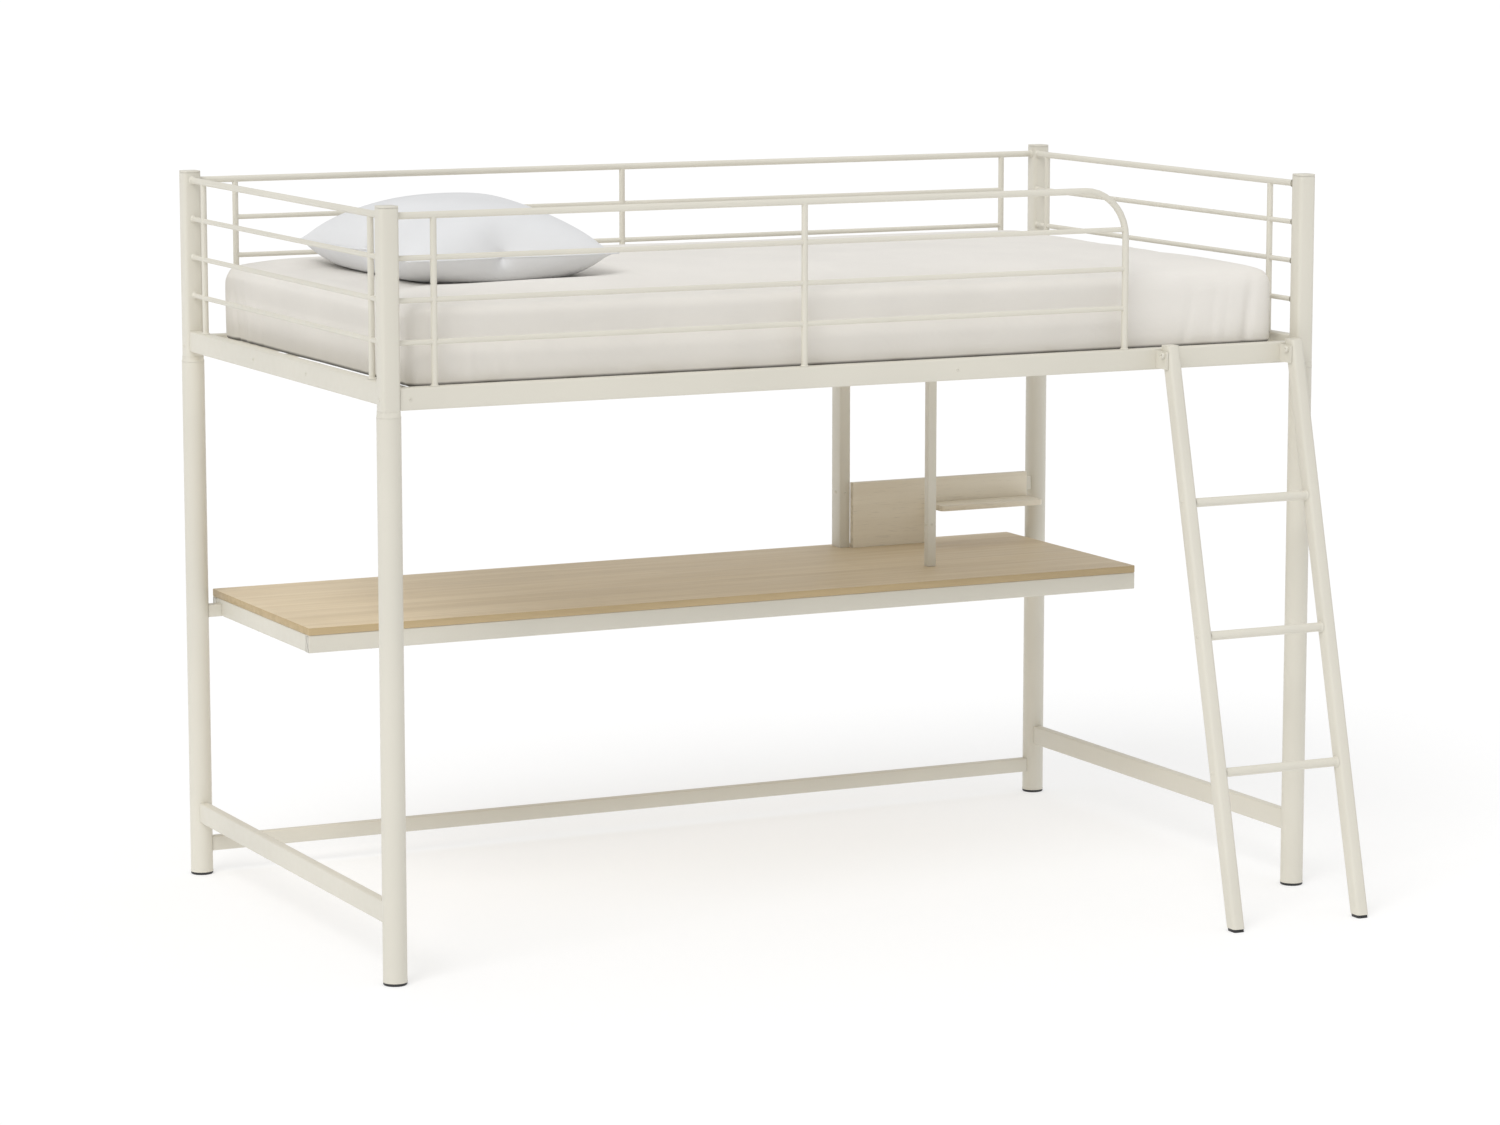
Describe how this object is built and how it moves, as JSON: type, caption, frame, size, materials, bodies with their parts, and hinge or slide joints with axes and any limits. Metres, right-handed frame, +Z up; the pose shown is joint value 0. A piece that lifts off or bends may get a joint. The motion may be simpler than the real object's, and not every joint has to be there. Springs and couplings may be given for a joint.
{
  "type": "loft bed with desk",
  "caption": "Steel tube loft bed with guard rails, leaning ladder, mattress and pillow, and an oak desk with a small shelf hung beneath it.",
  "frame": {"origin": "on the floor under the middle of the whole bed's outline, ladder included", "axes": "+Z up, +X along the bed from the head (pillow) end to the foot (ladder) end, -Y towards the ladder side"},
  "size_m": [1.985, 1.425, 1.4303],
  "materials": {
    "ivory_paint": "satin",
    "zinc_steel": "satin",
    "black_plastic": "matte",
    "pale_oak": "satin",
    "greige_oak": "satin",
    "cream_sheet": "matte",
    "white_pillowcase": "matte"
  },
  "bodies": {
    "bed_frame": {"cross_support": "ivory_paint", "desk_arm_foot": "ivory_paint", "desk_arm_head": "ivory_paint", "desk_arm_middle": "ivory_paint", "desk_mount_foot": "ivory_paint", "desk_mount_head": "ivory_paint", "desk_rail_back": "ivory_paint", "desk_rail_front": "ivory_paint", "desk_top": "pale_oak", "end_rail_foot": "ivory_paint", "end_rail_head": "ivory_paint", "foot_glide_foot_back": "black_plastic", "foot_glide_foot_front": "black_plastic", "foot_glide_head_back": "black_plastic", "foot_glide_head_front": "black_plastic", "guard_back": "ivory_paint", "guard_foot": "ivory_paint", "guard_front": "ivory_paint", "guard_head": "ivory_paint", "hanger_back": "ivory_paint", "hanger_front": "ivory_paint", "hutch_panel": "greige_oak", "hutch_shelf": "greige_oak", "ladder_bolt_foot": "ivory_paint", "ladder_bolt_head": "ivory_paint", "ladder_bracket_foot": "ivory_paint", "ladder_bracket_head": "ivory_paint", "lower_post_foot_back": "ivory_paint", "lower_post_foot_front": "ivory_paint", "lower_post_head_back": "ivory_paint", "lower_post_head_front": "ivory_paint", "panel_bracket": "ivory_paint", "post_cap_foot_back": "ivory_paint", "post_cap_foot_front": "ivory_paint", "post_cap_head_back": "ivory_paint", "post_cap_head_front": "ivory_paint", "post_spigot_foot_back": "zinc_steel", "post_spigot_foot_front": "zinc_steel", "post_spigot_head_back": "zinc_steel", "post_spigot_head_front": "zinc_steel", "side_rail_back": "ivory_paint", "side_rail_front": "ivory_paint", "slat_base": "ivory_paint", "stretcher_back": "ivory_paint", "stretcher_foot": "ivory_paint", "stretcher_head": "ivory_paint", "upper_post_foot_back": "ivory_paint", "upper_post_foot_front": "ivory_paint", "upper_post_head_back": "ivory_paint", "upper_post_head_front": "ivory_paint"},
    "ladder": {"ladder_pad_foot": "black_plastic", "ladder_pad_head": "black_plastic", "ladder_rung_1": "ivory_paint", "ladder_rung_2": "ivory_paint", "ladder_rung_3": "ivory_paint", "ladder_stile_foot": "ivory_paint", "ladder_stile_head": "ivory_paint"},
    "mattress": {"mattress": "cream_sheet"},
    "pillow": {"pillow": "white_pillowcase"}
  },
  "joints": [
    {"name": "ladder_swing", "type": "hinge", "parent": "bed_frame", "child": "ladder", "pos_m": [0.7875, -0.4295, 1.09], "axis": [-1, 0, 0], "range_deg": [0, 60]},
    {"name": "mattress_lift", "type": "slide", "parent": "bed_frame", "child": "mattress", "axis": [0, 0, 1], "range_m": [0, 0.4]},
    {"name": "pillow_lift", "type": "slide", "parent": "mattress", "child": "pillow", "axis": [0, 0, 1], "range_m": [0, 0.3]}
  ]
}
